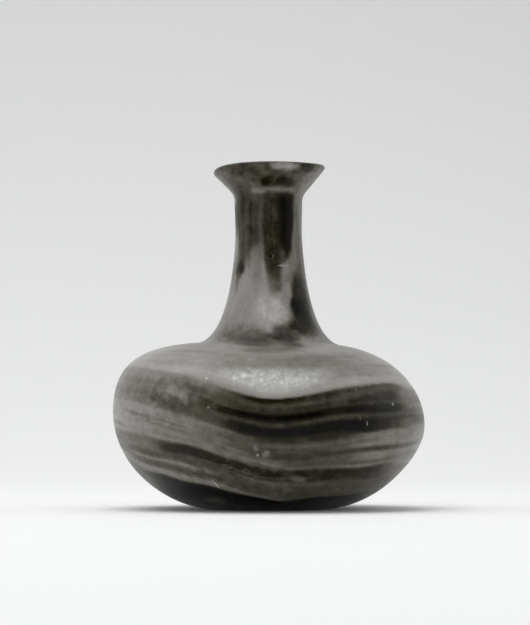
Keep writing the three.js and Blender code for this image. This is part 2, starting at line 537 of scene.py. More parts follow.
    def turn(self, name: str, outline: FlaskOutline, blown: BlownUnevenness, facets: int,
             glass: bpy.types.Material) -> tuple[bpy.types.Object, np.ndarray]:
        """Makes the turned and blown piece as a plain mesh.

        Args:
            name: The piece's name.
            outline: The outline that is turned.
            blown: What free blowing left uneven.
            facets: How many facets a ring has.
            glass: The material of the piece.

        Returns:
            The object, and for each of its vertices whether it lies on the inside.
        """
        points, outside_count = outline.points()
        mesh = bpy.data.meshes.new(name)
        mesh.from_pydata([(radius * MM, 0.0, level * MM) for radius, level in points],
                         [(at, at + 1) for at in range(len(points) - 1)], [])
        piece = bpy.data.objects.new(name, mesh)
        bpy.context.scene.collection.objects.link(piece)
        modifier = piece.modifiers.new("blown_lathe", "NODES")
        modifier.node_group = self.tree
        values = {
            LatheInput.RINGS: len(points),
            LatheInput.FACETS: facets,
            LatheInput.BELLY_RADIUS: outline.belly_diameter / 2 * MM,
            LatheInput.SHOULDER_LEAN: blown.shoulder_lean,
            LatheInput.LEAN_START: blown.lean_start_level * MM,
            LatheInput.LEAN_FULL: blown.lean_full_level * MM,
            LatheInput.NECK_BOW: blown.neck_bow * MM,
            LatheInput.BOW_START: blown.bow_start_level * MM,
            LatheInput.COLLAR_LEVEL: outline.collar_level * MM,
            LatheInput.LIP_LEVEL: outline.height * MM,
            LatheInput.MOUTH_SHIFT: blown.mouth_shift * MM,
            LatheInput.MOUTH_FALL: blown.mouth_fall_left,
            LatheInput.MOUTH_RISE: blown.mouth_rise_front,
            LatheInput.LIP_WAVE: blown.lip_wave * MM,
            # The noise runs half its range to each side
            LatheInput.SWELL_HEIGHT: blown.swell_height * 2 * MM,
            LatheInput.SWELL_LENGTH: blown.swell_length * MM,
            LatheInput.SEED: blown.seed,
            LatheInput.GLASS: glass,
        }
        for item, value in values.items():
            modifier[self.identifiers[item]] = value
        evaluated = piece.evaluated_get(bpy.context.evaluated_depsgraph_get())
        finished = bpy.data.meshes.new_from_object(evaluated)
        piece.modifiers.remove(modifier)
        piece.data = finished
        bpy.data.meshes.remove(mesh)
        finished.name = name
        rings = np.zeros(len(finished.vertices), np.float32)
        finished.attributes[self.RING_ATTRIBUTE].data.foreach_get("value", rings)
        return piece, rings >= outside_count


# The marbling

# Where a patch's cover ends and where it is full, as shares of its half sizes
PATCH_EDGE = 1.5
PATCH_CORE = 0.45

# The height over which a tongue's top blends in, in millimetres
TONGUE_TOP_BLEND = 1.2

# Waves that make the strands wander: share, waves round the flask, radians a millimetre, phase
WAVES = ((1.0, 5, 0.5, 0.0), (0.6, 11, -0.8, 1.7))


@dataclass(frozen=True)
class Guide:
    """One line that the strands run along: its level at the front, and its rise every 30 degrees.

    The rises start at the back, -180 degrees, and go by the left, the front and the right.
    """

    front_level: float
    rises: tuple[float, ...] = (0.0,) * 12

    def level(self, azimuth: np.ndarray) -> np.ndarray:
        """Gives the line's level, on a smooth curve through its knots.

        Args:
            azimuth: Degrees from the front.

        Returns:
            The level at each azimuth, in millimetres.
        """
        knots = np.array(self.rises)
        step = 360.0 / len(knots)
        place = (azimuth + 180.0) / step
        at = np.floor(place).astype(int)
        share = place - at
        before, here, after, beyond = (knots[(at + shift) % len(knots)] for shift in (-1, 0, 1, 2))
        slope_here = (after - before) / 2
        slope_after = (beyond - here) / 2
        square, cube = share**2, share**3
        rise = ((2 * cube - 3 * square + 1) * here + (cube - 2 * square + share) * slope_here
                + (3 * square - 2 * cube) * after + (cube - square) * slope_after)
        return self.front_level + rise


@dataclass(frozen=True)
class Places:
    """Where points lie on the flask.

    Azimuths are degrees from the front, levels are millimetres above the table, radii are millimetres
    from the axis, and the flow is the front level of the line between the guides that a point lies on.
    """

    azimuth: np.ndarray
    level: np.ndarray
    radius: np.ndarray
    flow: np.ndarray


@dataclass(frozen=True)
class Strand:
    """A strand of glass that runs round the bulb along the guides.

    Levels are the strand's height at the front in millimetres, azimuths are degrees from the front,
    and darkness is 0 for the palest glass and 1 for the darkest.
    """

    level_from: float
    level_to: float
    half_width: float
    darkness: float
    azimuth_from: float
    azimuth_to: float
    softness: float = 0.6
    fade: float = 14.0
    strength: float = 1.0

    def cover(self, at: Places) -> np.ndarray:
        """Gives how much of the glass is this strand's.

        Args:
            at: Where to look.

        Returns:
            The cover at each place, from 0 to 1.
        """
        away = turned_from(at.azimuth, (self.azimuth_from + self.azimuth_to) / 2)
        half_run = (self.azimuth_to - self.azimuth_from) / 2
        share = np.clip((away + half_run) / (2 * half_run), 0.0, 1.0)
        centre = self.level_from + (self.level_to - self.level_from) * share
        across = within(np.abs(at.flow - centre), self.half_width, self.softness)
        return self.strength * across * within(np.abs(away), half_run, self.fade)


@dataclass(frozen=True)
class Tongue:
    """A tongue of glass dragged down the neck, narrowing and fading to a tip.

    The azimuth, half width, swing and softness are degrees, and the levels and the fade millimetres.
    """

    azimuth: float
    half_width: float
    top: float
    shoulder: float
    tip: float
    darkness: float
    swing: float = 0.0
    softness: float = 7.0
    fade: float = 3.0
    strength: float = 1.0

    def cover(self, at: Places) -> np.ndarray:
        """Gives how much of the glass is this tongue's.

        Args:
            at: Where to look.

        Returns:
            The cover at each place, from 0 to 1.
        """
        down = np.clip((at.level - self.tip) / (self.shoulder - self.tip), 0.0, 1.0)
        away = np.abs(turned_from(at.azimuth, self.azimuth + self.swing * (1.0 - down)))
        across = within(away, self.half_width * np.sqrt(down), self.softness)
        blend = TONGUE_TOP_BLEND / 2
        low_end = smooth(at.level, self.tip, self.tip + self.fade)
        top_end = smooth(at.level, self.top + blend, self.top - blend)
        return self.strength * across * (low_end * top_end)


@dataclass(frozen=True)
class Patch:
    """A soft oval patch. The azimuth is in degrees, the level and half sizes are in millimetres.

    The darkness is for patches of glass, and frosted or clouded places leave it out.
    """

    azimuth: float
    level: float
    half_width: float
    half_height: float
    darkness: float = 0.0
    strength: float = 1.0

    def cover(self, at: Places) -> np.ndarray:
        """Gives how much of the glass is this patch's.

        Args:
            at: Where to look.

        Returns:
            The cover at each place, from 0 to the patch's strength.
        """
        aside = np.radians(turned_from(at.azimuth, self.azimuth)) * at.radius
        away = np.hypot(aside / self.half_width, (at.level - self.level) / self.half_height)
        return self.strength * smooth(away, PATCH_EDGE, PATCH_CORE)


@dataclass(frozen=True)
class Mark:
    """A scratch, pit, speck or burst bubble on the outside. Half sizes are millimetres.

    The slant is in degrees from level, the tone is the mark's hex colour, and a ring is left open.
    """

    azimuth: float
    level: float
    half_length: float
    half_width: float
    tone: str
    slant: float = 0.0
    ring: bool = False
    strength: float = 0.85


GUIDES = (
    Guide(0.0),
    Guide(3.4, (1.8, 2.2, 6.0, 8.5, 5.8, 3.0, -0.3, -0.5, 0.1, 0.6, 2.6, 3.2)),
    Guide(7.6, (2.6, 3.0, 6.8, 8.8, 6.9, 4.4, -0.3, 0.0, 0.9, 2.0, 4.2, 4.6)),
    Guide(14.7, (2.2, 3.0, 6.4, 7.4, 6.6, 3.8, 0.0, 0.9, 1.6, 3.0, 4.8, 4.4)),
    Guide(22.0, (1.4, 2.2, 5.0, 7.0, 6.6, 4.5, 0.0, 2.6, 3.4, 3.1, 4.0, 3.4)),
    Guide(32.6),
    Guide(75.0),
)

STRANDS = (
    # The shoulder: grey in front, paler to both sides, with faint thin streaks
    Strand(27.5, 27.5, 6.4, 0.10, -122, -52, softness=3.0, fade=44),
    Strand(27.4, 27.6, 2.8, 0.22, -56, -26, softness=2.4, fade=20),
    Strand(27.0, 27.0, 5.6, 0.14, 60, 150, softness=2.5, fade=36),
    Strand(28.6, 28.4, 2.0, 0.39, -22, 34, softness=2.0, fade=18),
    Strand(31.0, 31.0, 0.6, 0.37, -50, -24, softness=0.9, fade=12),
    Strand(29.7, 30.0, 0.35, 0.44, 4, 46, softness=0.7),
    Strand(27.6, 27.4, 0.25, 0.34, 30, 78),
    Strand(30.4, 30.4, 0.25, 0.24, -58, -28),
    Strand(26.8, 26.6, 1.0, 0.34, 18, 44, softness=1.2),
    Strand(32.4, 32.4, 0.9, 0.48, -12, 18, softness=0.8, fade=12),
    Strand(31.7, 31.7, 0.4, 0.26, 20, 64, softness=0.8),
    # The pale strand along the top of the dark band
    Strand(23.6, 23.6, 1.4, 0.13, -58, 24, softness=1.2, fade=18),
    Strand(23.4, 23.4, 0.9, 0.14, 14, 130, softness=1.2),
    # The broad dark band: grey towards the left and right edges, partly clouded glass and partly painted
    # reflection where the edges brighten, darkest in front, with thin lines in it
    Strand(18.5, 18.5, 3.5, 0.36, -130, -62, softness=1.6, fade=20),
    Strand(18.5, 18.5, 3.5, 0.41, -68, -8, softness=1.6, fade=30),
    Strand(21.2, 21.2, 0.8, 0.33, -76, -32, softness=1.2),
    Strand(17.0, 16.4, 1.4, 0.57, -46, -12, softness=1.4, fade=18),
    Strand(18.6, 18.0, 0.9, 0.66, -27, -10, softness=1.0, fade=12),
    Strand(20.2, 19.8, 0.6, 0.52, -34, -14, softness=1.0, fade=12),
    Strand(18.5, 18.5, 3.5, 0.68, -16, 60, softness=0.8, fade=16),
    # Paler towards the right edge: partly the glass and partly painted reflection
    Strand(18.2, 18.4, 3.2, 0.44, 60, 124, softness=1.1, fade=14),
    Strand(18.5, 18.5, 3.4, 0.62, 124, 178, softness=0.9, fade=50),
    Strand(19.2, 19.6, 0.7, 0.58, 66, 160, softness=0.9, fade=20),
    Strand(16.4, 15.8, 0.6, 0.62, 62, 140, softness=0.8, fade=20),
    Strand(18.4, 18.4, 0.55, 0.98, -14, 22, softness=0.6, fade=16),
    Strand(18.4, 18.3, 0.6, 0.94, 24, 56, softness=0.8, fade=16),
    Strand(19.9, 20.1, 0.5, 0.76, 28, 54, softness=0.7, fade=12),
    Strand(15.6, 15.7, 1.05, 1.0, -14, 44, softness=0.7, fade=14),
    Strand(17.3, 17.9, 0.3, 0.62, 16, 84, softness=0.8),
    Strand(20.7, 20.4, 0.35, 0.60, -16, 30, softness=0.7),
    Strand(21.2, 21.3, 0.35, 0.61, 26, 62, softness=0.7),
    Strand(21.8, 21.6, 0.35, 0.78, -10, 14, softness=0.5),
    Strand(21.5, 21.6, 0.3, 0.70, 12, 40, softness=0.5),
    Strand(22.3, 22.3, 0.35, 0.26, -30, -14, softness=0.8, fade=10),
    Strand(16.7, 16.9, 0.15, 0.70, 24, 70, softness=0.4),
    # The glass under it: pale at the sides, deep grey in front, with thin darker lines. The pale sides and
    # the deep grey front are partly the glass and partly painted light: reflection at the edges, shade in the
    # middle
    Strand(11.8, 11.8, 2.8, 0.62, -20, 32, softness=2.2, fade=34),
    Strand(11.6, 11.6, 3.0, 0.40, 48, 130, softness=2.0, fade=22),
    Strand(12.0, 12.0, 2.9, 0.22, -112, -58, softness=1.6, fade=30),
    Strand(12.6, 12.2, 0.5, 0.50, 84, 150, softness=0.9, fade=26),
    Strand(13.0, 12.4, 0.4, 0.42, -150, -74, softness=0.8, fade=26),
    Strand(10.4, 10.0, 0.3, 0.46, -140, -66, softness=0.6, fade=20),
    Strand(14.6, 14.6, 0.7, 0.24, -84, -40, softness=0.8, fade=14),
    Strand(10.3, 10.2, 0.4, 0.52, -12, 34, softness=0.6),
    Strand(14.4, 14.3, 0.55, 0.71, -8, 34, softness=0.9, fade=18),
    Strand(11.3, 11.9, 0.4, 0.66, -2, 74, softness=0.6),
    Strand(13.1, 13.2, 0.3, 0.52, -6, 44),
    Strand(13.2, 12.2, 0.35, 0.43, -64, -16, softness=0.7),
    Strand(12.0, 10.9, 0.3, 0.44, -52, -8, softness=0.7),
    Strand(9.9, 9.6, 0.4, 0.40, -46, 6, softness=0.8),
    Strand(9.5, 9.6, 0.25, 0.58, 20, 60),
    # The lower dark band, and the clouded grey under it on the right
    Strand(7.7, 7.7, 1.2, 0.47, -84, -42, softness=0.9, fade=16),
    Strand(5.4, 5.4, 2.3, 0.53, 4, 88, softness=1.2, fade=24),
    Strand(7.6, 7.6, 1.15, 0.73, -42, 58, softness=0.9, fade=16),
    Strand(7.4, 7.3, 0.8, 0.83, -44, -12, softness=1.0, fade=14),
    Strand(7.2, 7.0, 1.0, 0.55, 58, 120, softness=1.2, fade=24),
    Strand(6.7, 7.1, 0.2, 0.60, -40, 16),
    # Thin pale strands above the dark foot
    Strand(4.8, 4.8, 1.4, 0.54, -70, 6, softness=1.0, fade=20),
    Strand(6.2, 6.1, 0.4, 0.62, -66, -10, softness=0.7),
    Strand(5.2, 5.3, 0.25, 0.34, -70, -30, softness=0.4),
    Strand(4.3, 4.5, 0.18, 0.64, -62, -8, softness=0.4),
    Strand(3.35, 3.4, 0.18, 0.30, -66, -14, softness=0.4),
    # The dark foot, all round: partly dark glass and partly painted shade under the bulb
    Strand(0.9, 0.9, 1.85, 1.0, -180, 180, softness=0.6, fade=0.1),
    Strand(2.6, 3.0, 0.5, 0.95, 14, 58, softness=0.6, fade=16),
    # Paler at the left and right edges of the foot: partly painted light reflected from the white floor
    Strand(2.1, 2.1, 0.8, 0.62, -96, -62, softness=1.4, fade=16),
    Strand(1.9, 1.9, 1.1, 0.54, 76, 104, softness=1.3, fade=14),
    # The back, in keeping with the front
    Strand(18.6, 19.0, 2.2, 0.90, 170, 258, softness=1.0, fade=50),
    Strand(12.8, 11.8, 0.9, 0.78, 118, 236, softness=0.8, fade=44),
    Strand(5.8, 6.0, 1.6, 0.86, 128, 285, softness=1.0, fade=26),
    Strand(25.8, 24.6, 0.8, 0.62, 120, 250, softness=0.9, fade=50),
    Strand(10.0, 9.2, 0.4, 0.55, 150, 270, fade=30),
)

TONGUES = (
    # Front, from the left to the right
    Tongue(-46, 38, 64.8, 58.0, 46.5, 0.65, softness=26, fade=10),
    Tongue(-14, 4, 63.0, 56.0, 47.0, 0.50, softness=6, fade=4, strength=0.8),
    Tongue(-32, 3, 63.0, 58.0, 54.0, 0.74, softness=5, strength=0.8),
    Tongue(-50, 5, 64.0, 60.0, 58.0, 0.76, softness=6, strength=0.8),
    Tongue(66, 15, 65.0, 52.0, 42.0, 0.47, softness=10, fade=4),
    Tongue(-49, 7, 57.0, 51.0, 45.0, 0.62, softness=8, fade=5),
    Tongue(7, 25, 50.5, 46.0, 37.4, 0.10, softness=11, fade=1.5, strength=0.9),
    Tongue(16, 26, 64.9, 54.0, 48.6, 0.69, swing=-6, softness=7, fade=2.5),
    Tongue(9, 15, 53.0, 48.0, 42.8, 0.52, softness=6, fade=1.8),
    Tongue(8, 13, 54.0, 50.0, 44.8, 0.70, softness=9, fade=5),
    Tongue(33, 14, 64.6, 60.0, 50.0, 0.93, softness=14, fade=5),
    Tongue(72, 10, 64.0, 58.0, 52.0, 0.40, softness=10, fade=3),
    Tongue(8, 2, 62.0, 55.0, 49.0, 0.62, softness=4, strength=0.7),
    # Back
    Tongue(112, 20, 65.6, 53.6, 43.6, 0.80, swing=6, softness=16, fade=5),
    Tongue(160, 24, 65.6, 51.6, 39.6, 0.84, swing=-5, softness=15, fade=6),
    Tongue(208, 9, 64.6, 55.6, 47.6, 0.66, softness=12, fade=5),
    Tongue(250, 18, 65.6, 54.6, 44.6, 0.74, swing=6, softness=17, fade=5),
)

PATCHES = (
    # The neck: pale glass low on the left, a bright drop in front, and a dark cloud on the right
    Patch(-70, 41.0, 3.4, 5.5, 0.24),
    Patch(-74, 53.5, 1.6, 3.4, 0.22),
    Patch(-60, 36.0, 4.0, 2.4, 0.28),
    Patch(-30, 43.5, 4.8, 5.8, 0.18),
    Patch(-20, 50.0, 1.4, 4.0, 0.30, strength=0.8),
    Patch(-52, 49.2, 1.2, 1.5, 0.88),
    Patch(-54, 46.8, 0.6, 2.6, 0.58, strength=0.6),
    Patch(27, 46.5, 1.2, 3.0, 0.33, strength=0.9),
    Patch(56, 42.5, 2.6, 6.0, 0.70),
    Patch(74, 44.0, 1.4, 4.5, 0.52, strength=0.7),
    Patch(76, 35.4, 2.4, 2.2, 0.50, strength=0.8),
    Patch(45, 41.6, 3.2, 4.8, 0.74, strength=0.9),
    Patch(38, 37.4, 3.4, 2.0, 0.76),
    Patch(43, 40.8, 2.2, 2.8, 0.92, strength=0.9),
    Patch(37, 41.4, 1.0, 1.3, 1.0, strength=0.9),
    Patch(45, 41.0, 1.5, 2.2, 1.0),
    Patch(47, 46.0, 0.9, 1.8, 0.84, strength=0.8),
    Patch(3, 40.4, 4.0, 3.4, 0.0, strength=0.75),
    Patch(35, 61.2, 1.0, 1.6, 1.0, strength=0.9),
    Patch(-76, 63.5, 1.0, 1.2, 0.30),
    Patch(27, 44.0, 0.9, 2.6, 0.24),
    # The neck's root
    Patch(-34, 35.4, 5.2, 1.9, 0.50),
    Patch(-14, 34.7, 4.2, 1.3, 0.66),
    Patch(14, 36.3, 1.8, 1.1, 0.70),
    Patch(14, 34.8, 3.0, 1.2, 0.72),
    Patch(-8, 33.4, 3.6, 0.6, 0.76),
    Patch(14, 33.3, 2.4, 0.6, 0.70),
    Patch(-120, 34.6, 9.0, 0.9, 0.52),
    Patch(150, 34.6, 9.0, 0.9, 0.58),
    # The bulb
    Patch(-2, 11.6, 0.7, 0.7, 0.30, strength=0.8),
    Patch(-6, 12.6, 0.5, 0.6, 0.30, strength=0.7),
    Patch(13, 6.6, 1.5, 0.7, 0.42, strength=0.8),
    Patch(4, 5.2, 1.6, 0.6, 0.44, strength=0.7),
    Patch(-36, 24.2, 1.3, 1.1, 0.25, strength=0.6),
    Patch(-40, 22.6, 0.9, 0.6, 0.27, strength=0.5),
    Patch(-32, 22.4, 0.9, 1.2, 0.28, strength=0.6),
    Patch(-45, 24.6, 0.9, 1.0, 0.52, strength=0.6),
    Patch(-46, 21.2, 0.7, 0.5, 0.25, strength=0.6),
    Patch(-32, 2.2, 3.0, 0.9, 0.62),
    # The rim
    Patch(66, 67.0, 3.4, 3.2, 0.42),
    Patch(-31, 69.4, 3.2, 1.4, 0.70),
    Patch(46, 69.6, 1.8, 0.9, 0.80),
    Patch(16, 69.7, 3.2, 0.7, 0.16),
    Patch(-6, 69.6, 1.4, 0.8, 0.62),
    Patch(13, 66.8, 3.7, 1.1, 0.71),
    Patch(-5, 66.9, 0.8, 0.8, 0.84, strength=0.7),
    Patch(4, 66.3, 0.9, 0.6, 0.80, strength=0.6),
    Patch(13, 67.0, 1.2, 0.6, 0.80, strength=0.7),
    Patch(24, 66.7, 1.1, 0.8, 0.80, strength=0.6),
    Patch(-19, 64.9, 1.8, 0.6, 0.34),
    Patch(-19, 63.4, 1.2, 0.9, 0.54),
    Patch(22, 65.3, 4.6, 0.5, 0.42),
    Patch(-52, 65.2, 2.6, 1.1, 0.70),
)

# Places that weathering left more clouded than the rest
CLOUDED = (
    Patch(-42, 22.0, 11.0, 5.0, strength=0.9),
    Patch(-24, 8.0, 13.0, 3.6, strength=0.7),
    Patch(8, 6.0, 12.0, 3.0, strength=0.5),
    Patch(6, 35.0, 14.0, 2.4, strength=1.4),
    Patch(45, 41.0, 4.5, 5.0, strength=1.2),
    Patch(-150, 20.0, 16.0, 7.0, strength=0.9),
    Patch(110, 30.0, 12.0, 4.0, strength=0.7),
)

# Frosted places on the neck
FROSTED = (
    Patch(5, 39.6, 3.4, 2.6, strength=0.28),
    Patch(-6, 42.8, 1.2, 3.4, strength=0.2),
)

MARKS = (
    # Scratches, and a pit whose dark hollow is painted shade and whose bright edge is a painted highlight
    Mark(-25, 5.6, 1.35, 0.24, "c9c8c2", slant=-66),
    Mark(25, 49.4, 1.5, 0.20, "a5a39e", slant=2, strength=0.7),
    Mark(20, 49.6, 0.5, 0.30, "a5a39e", slant=6, strength=0.6),
    # The pit: a paler rim as painted highlight, then a black middle as painted shade
    Mark(5, 51.5, 0.55, 0.50, "6c6963", strength=0.5),
    Mark(3, 51.2, 0.34, 0.36, "020202", strength=1.0),
    # Burst bubbles drawn out along the lower dark band
    Mark(-16, 9.2, 1.2, 0.36, "77736b", slant=-12, ring=True, strength=0.55),
    Mark(-9, 8.2, 0.9, 0.55, "77736b", slant=-30, ring=True, strength=0.5),
    Mark(-56, 13.4, 0.7, 0.75, "55504a", slant=-30, ring=True, strength=0.5),
    # Bright specks
    Mark(51, 21.3, 0.28, 0.36, "b4b2aa"),
    Mark(37, 17.4, 0.22, 0.55, "8b8983", strength=0.7),
    Mark(34, 18.6, 0.16, 0.40, "77756f", strength=0.7),
    Mark(34, 24.2, 0.22, 0.20, "8d8b85", strength=0.7),
    Mark(-21, 20.6, 0.30, 0.30, "96948e", strength=0.6),
    Mark(-4, 11.4, 0.34, 0.30, "a3a19b", strength=0.7),
    # The two brightest specks, on the frosted shoulder, are painted highlight: the peak of the light glancing
    # off it
    Mark(-9, 26.8, 0.60, 0.50, "e2e0da", strength=0.7),
    Mark(-23, 26.4, 0.34, 0.34, "d4d2cb", strength=0.6),
)


@dataclass(frozen=True)
class Marbling:
    """Lays the marbling on a mesh as attributes of its vertices.

    Grounds and the inside's tone are darknesses. Levels, half sizes and the strands' wander are
    millimetres, the neck's wander is degrees, its twist radians a millimetre, and the edge and core
    of the frosted place on the shoulder, which is partly painted highlight, are shares of its half sizes.
    """

    bulb_ground: float = 0.30
    neck_ground: float = 0.36
    rim_ground: float = 0.57
    inside_tone: float = 0.60
    strand_stretch: float = 0.09
    wander: float = 0.13
    neck_wander: float = 1.2
    neck_wander_turns: int = 3
    neck_wander_twist: float = 0.9
    rim_mottling: float = 1.4
    root_from: float = 32.2
    root_to: float = 34.4
    rim_from: float = 64.2
    rim_to: float = 65.8
    # The frosted place on the shoulder: partly weathering and partly a painted highlight where the light from
    # above glances off it
    frost_highlight_azimuth: float = 1.5
    frost_highlight_level: float = 25.6
    frost_highlight_half_width: float = 11.8
    frost_highlight_half_height: float = 2.6
    frost_highlight_edge: float = 1.25
    frost_highlight_core: float = 0.35

    def _flow(self, azimuth: np.ndarray, level: np.ndarray) -> np.ndarray:
        """Finds the line between the guides that each place lies on.

        Args:
            azimuth: Degrees from the front.
            level: Millimetres above the table.

        Returns:
            The level that the line has at the front, a little wavy.
        """
        flow = np.zeros_like(level)
        levels = [guide.level(azimuth) for guide in GUIDES]
        for lower, upper, low, high in zip(GUIDES, GUIDES[1:], levels, levels[1:]):
            between = (level >= low) & (level < high)
            share = (level - low) / (high - low)
            at_front = lower.front_level + share * (upper.front_level - lower.front_level)
            flow = np.where(between, at_front, flow)
        turn = np.radians(azimuth)
        waves = sum(share * np.sin(count * turn + twist * level + phase)
                    for share, count, twist, phase in WAVES)
        return flow + self.wander * waves

    def _on_neck(self, at: Places) -> np.ndarray:
        """Gives the share, from 0 on the bulb to 1 on the neck, that each place has of the neck."""
        return smooth(at.level, self.root_from, self.root_to)

    def _on_rim(self, at: Places) -> np.ndarray:
        """Gives the share, from 0 on the neck to 1 on the rim, that each place has of the rim."""
        return smooth(at.level, self.rim_from, self.rim_to)

    def _darkness(self, at: Places) -> np.ndarray:
        """Lays the strands, the tongues and the patches over one another.

        Args:
            at: Where to look.

        Returns:
            How dark each place is, from 0 for the palest glass to 1 for the darkest.
        """
        twist = self.neck_wander_twist * at.level + np.radians(self.neck_wander_turns * at.azimuth)
        dragged = replace(at, azimuth=at.azimuth + self.neck_wander * np.sin(twist))
        on_neck = self._on_neck(at)
        dark = np.full_like(at.level, self.bulb_ground)
        for strand in STRANDS:
            dark += (strand.darkness - dark) * strand.cover(at)
        dark += (self.neck_ground - dark) * on_neck
        for tongue in TONGUES:
            dark += (tongue.darkness - dark) * tongue.cover(dragged) * on_neck
        dark += (self.rim_ground - dark) * self._on_rim(at)
        for patch in PATCHES:
            dark += (patch.darkness - dark) * patch.cover(dragged)
        return dark

    def _frost_and_highlight(self, at: Places) -> np.ndarray:
        """Covers the frosted place on the shoulder, which is partly a painted highlight, and the smaller
        frosted ones on the neck.

        Args:
            at: Where to look.

        Returns:
            How much frost, and on the shoulder painted highlight, each place has, from 0 to 1.
        """
        # The shoulder's frosted place, partly a painted highlight
        aside = np.radians(at.azimuth - self.frost_highlight_azimuth) * at.radius
        up = at.flow - self.frost_highlight_level
        away = np.hypot(aside / self.frost_highlight_half_width, up / self.frost_highlight_half_height)
        frost_and_highlight = smooth(away, self.frost_highlight_edge, self.frost_highlight_core) * (1.0 - self._on_neck(at))
        for patch in FROSTED:
            frost_and_highlight = np.maximum(frost_and_highlight, patch.cover(at))
        return frost_and_highlight

    def paint(self, mesh: bpy.types.Mesh, inside: np.ndarray) -> None:
        """Stores how dark, how frosted or painted with highlight, and how mottled each vertex is, and where
        along its strand it lies.

        Args:
            mesh: The flask's mesh, in metres.
            inside: For each vertex, whether it lies on the inside.
        """
        places = np.zeros(len(mesh.vertices) * 3, np.float32)
        mesh.vertices.foreach_get("co", places)
        x, y, level = (places.reshape(-1, 3) / MM).T.astype(float)
        azimuth = np.degrees(np.arctan2(x, -y))
        flow = self._flow(azimuth, level)
        at = Places(azimuth, level, np.hypot(x, y), flow)
        dark = np.where(inside, self.inside_tone, self._darkness(at))
        # Frost, and on the shoulder a painted highlight
        frost_and_highlight = np.where(inside, 0.0, self._frost_and_highlight(at))
        mottling = 1.0 + sum(patch.cover(at) for patch in CLOUDED) + self.rim_mottling * self._on_rim(at)

        along = self.strand_stretch
        around_bulb = np.stack([x * along, y * along, flow], axis=1)
        down_neck = np.stack([x, y, level * along], axis=1)
        strand_place = around_bulb + (down_neck - around_bulb) * self._on_neck(at)[:, None]
        self._store(mesh, "darkness", "FLOAT", "value", dark)
        self._store(mesh, "frost_and_highlight", "FLOAT", "value", frost_and_highlight)
        self._store(mesh, "mottling", "FLOAT", "value", mottling)
        self._store(mesh, "strand_place", "FLOAT_VECTOR", "vector", strand_place * MM)

    @staticmethod
    def _store(mesh: bpy.types.Mesh, name: str, kind: str, value_name: str, values: np.ndarray) -> None:
        """Writes one attribute of the vertices."""
        attribute = mesh.attributes.new(name, kind, "POINT")
        attribute.data.foreach_set(value_name, values.astype(np.float32).ravel())


# Finishes


@dataclass(frozen=True)
class Texture:
    """One scale of unevenness in the glass: its width in millimetres, and how far it shifts the tone."""

    width: float
    shift: float
    relief: float = 0.0
    follows_strands: bool = False
    mottles: bool = False


